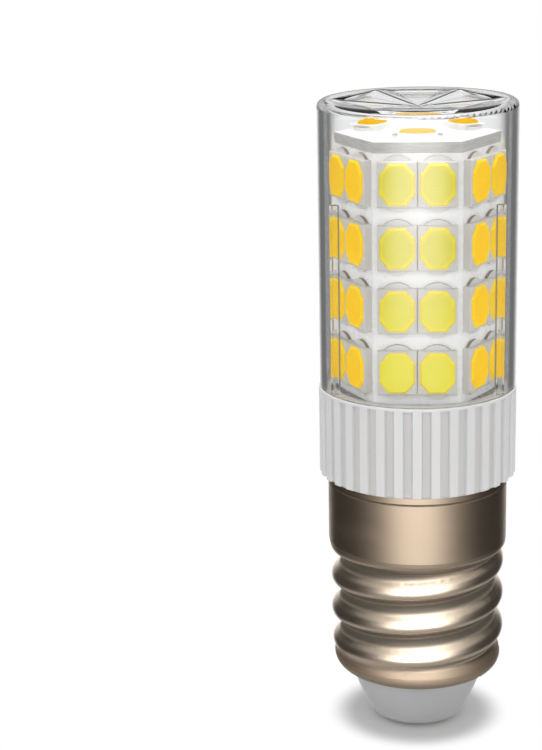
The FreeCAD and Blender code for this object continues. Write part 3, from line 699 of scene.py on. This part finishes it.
@dataclass(frozen=True)
class PhosphorFill(Finish):
    """Silicone filled with phosphor powder: deep yellow with a smooth skin and a lighter rim.

    The packages' places are in millimetres: the height of the top row's middle, the pitch of
    the rows, half the pitch of the two columns, and half the width and length of a fill. The
    fill's glow is painted light, and so is the brighter colour it can take towards the lower
    rows.
    """

    deep: Colour = (0.99, 0.56, 0.0, 1.0)
    light: Colour = (0.99, 0.62, 0.004, 1.0)
    edge: Colour = (1.0, 0.8, 0.004, 1.0)
    edge_share: float = 0.35
    edge_span: Span = (0.55, 1.05)
    # Painted light: a brighter yellow that the fill takes towards the lower rows, making up for the shade
    # that falls there.
    foot: Colour = (0.9, 0.82, 0.05, 1.0)
    painted_lift_share: float = 0.0
    painted_lift_heights: Span = (30.0, 40.5)
    first_row: float = 45.03
    row_pitch: float = 4.8
    half_pitch: float = 1.47
    half_width: float = 1.3
    half_length: float = 1.59
    powder_scale: float = 12000.0
    powder_share: float = 0.3
    powder_relief: float = 0.01
    settled_scale: float = 700.0
    settled_span: Span = (0.3, 0.7)
    meniscus: float = 0.00008
    roughness: float = 0.35
    specular: float = 0.15
    coat: float = 0.12
    coat_roughness: float = 0.12
    # Painted glow: the fill gives off a little light of its own although the bulb is off.
    glow: float = 0.16

    def rim(self, graph: Graph, place: Signal) -> Signal:
        """How far a point is from the middle of its package's fill.

        Args:
            graph: the graph to work in.
            place: the position on the bulb.

        Returns:
            0 in the middle of a fill, rising to about 1 at its rim.
        """
        x, y, _ = graph.split(place)
        facing_x, facing_y, _ = graph.facing()
        sideways = ((y * facing_x - x * facing_y) * MM_PER_METRE).size()
        across = (sideways - self.half_pitch) / self.half_width
        rows_down = (self.first_row + self.row_pitch * 0.5 - graph.height(place)) / self.row_pitch
        along = (rows_down.share() - 0.5) * (self.row_pitch / self.half_length)
        return across * across + along * along

    def surface(self, graph: Graph) -> Signal:
        """The phosphor.

        Args:
            graph: the graph to work in.

        Returns:
            The shader.
        """
        place = graph.place()
        powder = graph.noise(place, self.powder_scale, detail=2.0)
        settled = graph.noise(place, self.settled_scale, detail=2.0).rise(*self.settled_span)
        cloudy = settled * (1.0 - self.powder_share) + powder * self.powder_share
        # Painted light: the fill turns brighter towards the lower rows.
        lower = 1.0 - graph.height(place).rise(*self.painted_lift_heights)
        rim = self.rim(graph, place)
        fill = graph.blend(cloudy, self.deep, self.light)
        fill = graph.blend(lower * self.painted_lift_share, fill, self.foot)
        return graph.principled({
            "Base Color": graph.blend(rim.rise(*self.edge_span) * self.edge_share, fill, self.edge),
            "Roughness": self.roughness,
            "Specular IOR Level": self.specular,
            "Coat Weight": self.coat,
            "Coat Roughness": self.coat_roughness,
            # Painted glow in the fill's light colour.
            "Emission Color": self.light,
            "Emission Strength": self.glow,
            "Normal": graph.bump(rim + powder * self.powder_relief, self.meniscus),
        })


@dataclass(frozen=True)
class TinnedLug(Finish):
    """Package terminal: pale tinned face, with the faces that turn upward dark brown as painted shade."""

    face: Colour = (0.8, 0.79, 0.77, 1.0)
    # Painted shade: the dark brown of the faces that turn upward.
    rim: Colour = (0.3, 0.25, 0.2, 1.0)
    upward_shade_lean: Span = (0.15, 0.5)
    metal: float = 0.25
    roughness: float = 0.35
    grain_scale: float = 3000.0
    grain_roughness: float = 0.15
    grain_depth: float = 0.000004
    grain_strength: float = 0.4

    def surface(self, graph: Graph) -> Signal:
        """The terminal's tin.

        Args:
            graph: the graph to work in.

        Returns:
            The shader.
        """
        grain = graph.noise(graph.place(), self.grain_scale, detail=3.0)
        # Faces that turn upward take the dark brown as painted shade.
        shaded_top = graph.facing()[2].rise(*self.upward_shade_lean)
        return graph.principled({
            "Base Color": graph.blend(shaded_top, self.face, self.rim),
            "Metallic": self.metal,
            "Roughness": self.roughness + grain * self.grain_roughness,
            "Normal": graph.bump(grain, self.grain_depth, self.grain_strength),
        })


@dataclass(frozen=True)
class PaleFloor(Finish):
    """Matt floor that keeps the bulb's shadow and, past two radii in millimetres, is white."""

    albedo: float = 0.7
    clear_radii: Span = (4.9, 7.6)

    def surface(self, graph: Graph) -> Signal:
        """The floor, which meets the white behind the bulb.

        Args:
            graph: the graph to work in.

        Returns:
            The shader.
        """
        grey = (self.albedo, self.albedo, self.albedo, 1.0)
        matt = graph.signal("ShaderNodeBsdfDiffuse", None, {"Color": grey})
        white = graph.signal("ShaderNodeEmission", None, {"Strength": 1.0})
        (seen,) = graph.sights(Sight.CAMERA)
        far = graph.radius(graph.place()).rise(*self.clear_radii)
        return graph.choose(seen * far, matt, white)


@dataclass(frozen=True)
class Viewpoint:
    """The photograph's camera: distances in metres, angles in degrees, and its lens."""

    distance: float = 0.153
    tilt: float = 15.441
    turn: float = 4.335
    lean: float = 0.064
    aim_height: float = 0.028744
    focal_pixels: float = 1930.2
    frame_pixels: float = 750.0
    sensor: float = 36.0
    near: float = 0.005
    far: float = 20.0

    def set_up(self) -> None:
        """Places the camera where the photograph was taken from."""
        tilt = math.radians(self.tilt)
        turn = math.radians(self.turn)
        lean = math.radians(self.lean)
        level = Vector((0, math.cos(tilt), -math.sin(tilt)))
        up = Vector((0, math.sin(tilt), math.cos(tilt)))
        across = Vector((1, 0, 0))
        forward = level * math.cos(turn) - across * math.sin(turn)
        sideways = across * math.cos(turn) + level * math.sin(turn)
        right = sideways * math.cos(lean) + up * math.sin(lean)
        top = up * math.cos(lean) - sideways * math.sin(lean)
        data = bpy.data.cameras.new("camera")
        data.sensor_width = self.sensor
        data.lens = self.focal_pixels / self.frame_pixels * self.sensor
        data.clip_start = self.near
        data.clip_end = self.far
        camera = bpy.data.objects.new("camera", data)
        spot = Vector((0, 0, self.aim_height)) - level * self.distance
        axes = Matrix((right, top, -forward)).transposed().to_4x4()
        camera.matrix_world = Matrix.Translation(spot) @ axes
        bpy.context.scene.collection.objects.link(camera)
        bpy.context.scene.camera = camera


@dataclass(frozen=True)
class Surroundings:
    """What lies round the bulb: white for the camera, and bright and dark fields for the rest.

    A level is a strength, of which 1 is white. A height span is the upward part of a
    direction, and a depth span the downward part. A toward span is how much of the level
    direction points to the camera's side, and an away span how much points the other way.
    """

    gloss_front: float = 0.72
    gloss_side: float = 0.03
    gloss_back: float = 0.6
    gloss_back_low: float = 0.6
    gloss_top: float = 2.6
    gloss_shoulder: float = 0.55
    gloss_low: float = 0.42
    gloss_crown: float = 2.4
    gloss_apron: float = 3.8
    soft_level: float = 1.5
    soft_top: float = 0.15
    through_back: float = 1.0
    through_side: float = 0.2
    through_slant: float = 0.75
    top_heights: Span = (0.45, 0.85)
    low_depths: Span = (0.42, 0.72)
    back_away: Span = (0.8, 0.98)
    back_depths: Span = (0.0, 0.1)
    crown_start: Span = (-0.12, 0.1)
    crown_end: Span = (0.6, 0.85)
    crown_toward: Span = (0.55, 1.0)
    apron_start: Span = (-0.1, 0.06)
    apron_end: Span = (0.17, 0.3)
    apron_toward: Span = (0.72, 1.0)
    straight_away: Span = (0.962, 0.992)
    slant_span: Span = (0.1, 0.4)
    front_falloff: float = 2.0
    pole_guard: float = 0.0001

    def gloss(self, upward: Signal, toward: Signal, above: Signal) -> Signal:
        """What shines in glossy surfaces.

        Args:
            upward: the upward part of a direction.
            toward: how much of it points to the camera's side.
            above: 1 where it points to the top.

        Returns:
            The level.
        """
        front = toward.larger(0.0) ** self.front_falloff
        back = (-toward).rise(*self.back_away)
        beneath = (-upward).rise(*self.low_depths)
        around = between(front, self.gloss_side, self.gloss_front)
        around = around + back * ((-upward).rise(*self.back_depths) * self.gloss_back_low + self.gloss_back)
        top = between(front, self.gloss_shoulder, self.gloss_top)
        crown = upward.rise(*self.crown_start) * (1.0 - upward.rise(*self.crown_end))
        crown = crown * toward.rise(*self.crown_toward)
        apron = (-upward).rise(*self.apron_start) * (1.0 - (-upward).rise(*self.apron_end))
        apron = apron * toward.rise(*self.apron_toward)
        level = around + above * (top - around) + beneath * (self.gloss_low - around)
        return level + crown * self.gloss_crown + apron * self.gloss_apron

    def through(self, upward: Signal, toward: Signal, above: Signal, slope: float) -> Signal:
        """What shows through the clear cover.

        Args:
            upward: the upward part of a direction.
            toward: how much of it points to the camera's side.
            above: 1 where it points to the top.
            slope: the downward part of the camera's own direction.

        Returns:
            The level.
        """
        straight = (-toward).rise(*self.straight_away).larger(above)
        slanted = (upward + slope).size().rise(*self.slant_span)
        aside = between(slanted, self.through_side, self.through_slant)
        return between(straight, aside, self.through_back)

    def set_up(self, slope: float) -> None:
        """Makes the world.

        Args:
            slope: the downward part of the camera's own direction.
        """
        world = bpy.data.worlds.new("studio")
        world.use_nodes = True
        bpy.context.scene.world = world
        graph = Graph(world.node_tree)
        x, y, upward = graph.split(graph.signal("ShaderNodeTexCoord", output="Generated"))
        toward = -(y / (x * x + y * y + self.pole_guard) ** 0.5)
        above = upward.rise(*self.top_heights)
        seen, glossy, passing = graph.sights(Sight.CAMERA, Sight.GLOSSY, Sight.THROUGH)
        level = between(above, self.soft_level, self.soft_top)
        level = between(glossy, level, self.gloss(upward, toward, above))
        level = between(passing, level, self.through(upward, toward, above, slope))
        strength = between(seen, level, 1.0)
        light = graph.signal("ShaderNodeBackground", None, {"Color": WHITE, "Strength": strength})
        graph.node("ShaderNodeOutputWorld", None, {"Surface": light})


@dataclass(frozen=True)
class Softbox:
    """One soft rectangular lamp: its place and aim in metres, and its power in watts."""

    name: str
    spot: Point
    target: Point
    size: Span
    power: float

    def set_up(self) -> None:
        """Hangs the lamp."""
        data = bpy.data.lights.new(self.name, "AREA")
        data.shape = "RECTANGLE"
        data.size, data.size_y = self.size
        data.energy = self.power
        lamp = bpy.data.objects.new(self.name, data)
        lamp.visible_glossy = False
        facing = Vector(self.target) - Vector(self.spot)
        turned = facing.to_track_quat("-Z", "Y").to_matrix().to_4x4()
        lamp.matrix_world = Matrix.Translation(self.spot) @ turned
        bpy.context.scene.collection.objects.link(lamp)


@dataclass(frozen=True)
class Studio:
    """Camera, surroundings, pale floor and soft lamps."""

    viewpoint: Viewpoint = Viewpoint()
    surroundings: Surroundings = Surroundings()
    floor: Finish = PaleFloor("pale_floor")
    floor_width: float = 6.0
    lamps: tuple[Softbox, ...] = (
        Softbox("high_front_softbox", (0.033, -0.234, 0.197), (0.0, 0.0, 0.012), (0.3, 0.14), 0.06),
        Softbox("overhead_softbox", (0.0, 0.0, 0.34), (0.0, 0.0, 0.0), (0.06, 0.06), 0.52),
    )

    def build(self) -> None:
        """Builds the whole studio."""
        bpy.context.scene.view_settings.view_transform = "Standard"
        self.viewpoint.set_up()
        self.surroundings.set_up(math.sin(math.radians(self.viewpoint.tilt)))
        self.lay_floor()
        for lamp in self.lamps:
            lamp.set_up()
            LOG.info("hung %s", lamp.name)

    def lay_floor(self) -> None:
        """Lays the floor at the foot of the bulb, unseen in gloss and through the cover."""
        bpy.ops.mesh.primitive_plane_add(size=self.floor_width, location=(0, 0, 0))
        floor = bpy.context.object
        floor.name = "floor"
        floor.data.materials.append(self.floor.make())
        floor.visible_glossy = False
        floor.visible_transmission = False


@dataclass(frozen=True)
class Assembly:
    """A group of the bulb's pieces that are dressed together."""

    def finishes(self) -> dict[str, Finish]:
        """The finish of each piece; each group has its own."""
        raise NotImplementedError

    def dress(self) -> dict[str, Finish]:
        """Gives each of the group's pieces its finish.

        Returns:
            The finish by piece.
        """
        chosen = self.finishes()
        made: dict[Finish, bpy.types.Material] = {}
        for piece, finish in chosen.items():
            if finish not in made:
                made[finish] = finish.make()
            self.wear(piece, made[finish])
        return chosen

    @staticmethod
    def wear(piece: str, material: bpy.types.Material) -> None:
        """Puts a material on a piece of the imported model.

        Args:
            piece: the piece's name.
            material: the material it gets.
        """
        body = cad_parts[piece]
        if not body.material_slots:
            body.data.materials.append(material)
        for slot in body.material_slots:
            slot.material = material


def each(family: str, names: Iterable[object], finish: Finish) -> dict[str, Finish]:
    """One finish for a family of pieces.

    Args:
        family: the start of the pieces' names.
        names: the ends of their names.
        finish: the finish that they share.

    Returns:
        The finish by piece.
    """
    return {f"{family}_{name}": finish for name in names}


@dataclass(frozen=True)
class Housing(Assembly):
    """Cover, collar, shell, insulator and contact: what the hand and the holder touch."""

    cover: Finish = ClearMoulding("clear_plastic")
    collar: Finish = RibbedMoulding("ribbed_plastic")
    shell: Finish = RolledNickel("rolled_nickel")
    insulator: Finish = SatinMoulding(
        "milky_plastic", tone(176, 177, 177), tone(170, 171, 171), 0.35, glow=0.1
    )
    contact: Finish = BrightMetal("contact_plate", roughness=0.3)

    def finishes(self) -> dict[str, Finish]:
        """Chooses the finishes of the housing.

        Returns:
            The finish by piece.
        """
        return {
            "clear_cover": self.cover,
            "collar": self.collar,
            "screw_shell": self.shell,
            "base_insulator": self.insulator,
            "centre_contact": self.contact,
        }


@dataclass(frozen=True)
class LightColumn(Assembly):
    """The hexagonal column with its packages; the front ones' fill is paler as a painted reflection of the
    light in front.
    """

    board: Finish = SolderMask("white_board")
    top_board: Finish = SawnBoard("sawn_board")
    # Painted shade: the base board is grey where the column stands down in the collar's recess.
    base: Finish = SolderMask("base_board", tone(142, 141, 138), tone(132, 131, 128))
    package: Finish = SatinMoulding("package_plastic", tone(214, 211, 204), tone(206, 203, 196), 0.45)
    top_package: Finish = SatinMoulding("package_white", tone(236, 235, 231), tone(230, 229, 225), 0.4)
    terminal: Finish = TinnedLug("tinned_lug")
    phosphor: Finish = PhosphorFill("phosphor_silicone")
    # Painted reflection: the fill of the front face is a paler lemon yellow, as if it mirrored the light in
    # front.
    front_phosphor_highlight: Finish = PhosphorFill(
        "phosphor_painted_highlight",
        deep=(0.76, 0.67, 0.035, 1.0),
        light=(0.78, 0.71, 0.055, 1.0),
        edge_share=1.0,
        painted_lift_share=1.0,
        coat=1.0,
        glow=0.0,
    )
    top_phosphor: Finish = PhosphorFill(
        "phosphor_deep",
        deep=(0.74, 0.4, 0.0, 1.0),
        light=(0.78, 0.44, 0.0, 1.0),
        edge_share=0.0,
        meniscus=0.0,
        specular=0.0,
        coat=0.0,
        glow=0.0,
    )

    def finishes(self) -> dict[str, Finish]:
        """Chooses the finishes of the column.

        Returns:
            The finish by piece.
        """
        return {
            "top_board": self.top_board,
            "column_base": self.base,
            **each("led_board", FACES, self.board),
            **each("led_bodies", FACES, self.package),
            "led_bodies_top": self.top_package,
            # The front face's fill carries the painted reflection.
            f"phosphor_{FRONT_FACE}": self.front_phosphor_highlight,
            **each("phosphor", OTHER_FACES, self.phosphor),
            "phosphor_top": self.top_phosphor,
            **each("led_terminals", [*FACES, "top"], self.terminal),
        }


@dataclass(frozen=True)
class Driver(Assembly):
    """The driver inside the collar and the shell."""

    board: Finish = SolderMask("green_board", tone(40, 110, 60), tone(34, 96, 52))
    tin: Finish = BrightMetal("tin")
    wire: Finish = BrightMetal("copper_wire", (0.78, 0.62, 0.5, 1.0), (0.6, 0.42, 0.3, 1.0))
    can: Finish = BrightMetal("can_sleeve", (0.5, 0.53, 0.57, 1.0), (0.4, 0.42, 0.46, 1.0))
    dip: Finish = SatinMoulding("red_dip", tone(168, 44, 30), tone(150, 36, 26), 0.3, coat=0.6)
    epoxy: Finish = SatinMoulding("epoxy_black", tone(38, 38, 40), tone(46, 46, 48), 0.5)
    glaze: Finish = SatinMoulding("chip_glaze", tone(30, 30, 34), tone(60, 58, 56), 0.3, coat=0.4)
    lacquer: Finish = SatinMoulding("fuse_lacquer", tone(96, 136, 116), tone(84, 122, 104), 0.35, coat=0.5)

    def finishes(self) -> dict[str, Finish]:
        """Chooses the finishes of the driver.

        Returns:
            The finish by piece.
        """
        return {
            "driver_board": self.board,
            "supply_pins": self.tin,
            "contact_solder": self.tin,
            "shell_solder": self.tin,
            "shell_wire": self.wire,
            "film_capacitor": self.dip,
            "electrolytic_capacitor": self.can,
            "bridge_rectifier": self.epoxy,
            "driver_ic": self.epoxy,
            "chip_resistors": self.glaze,
            "fuse_resistor": self.lacquer,
        }


def main() -> None:
    """Builds the studio, dresses every piece and logs each lamp and piece."""
    logging.basicConfig(level=logging.INFO, format="%(name)s: %(message)s")
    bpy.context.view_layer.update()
    Studio().build()
    for assembly in (Housing(), LightColumn(), Driver()):
        for piece, finish in assembly.dress().items():
            LOG.info("dressed %s in %s", piece, finish.name)


if __name__ == "__main__":
    main()
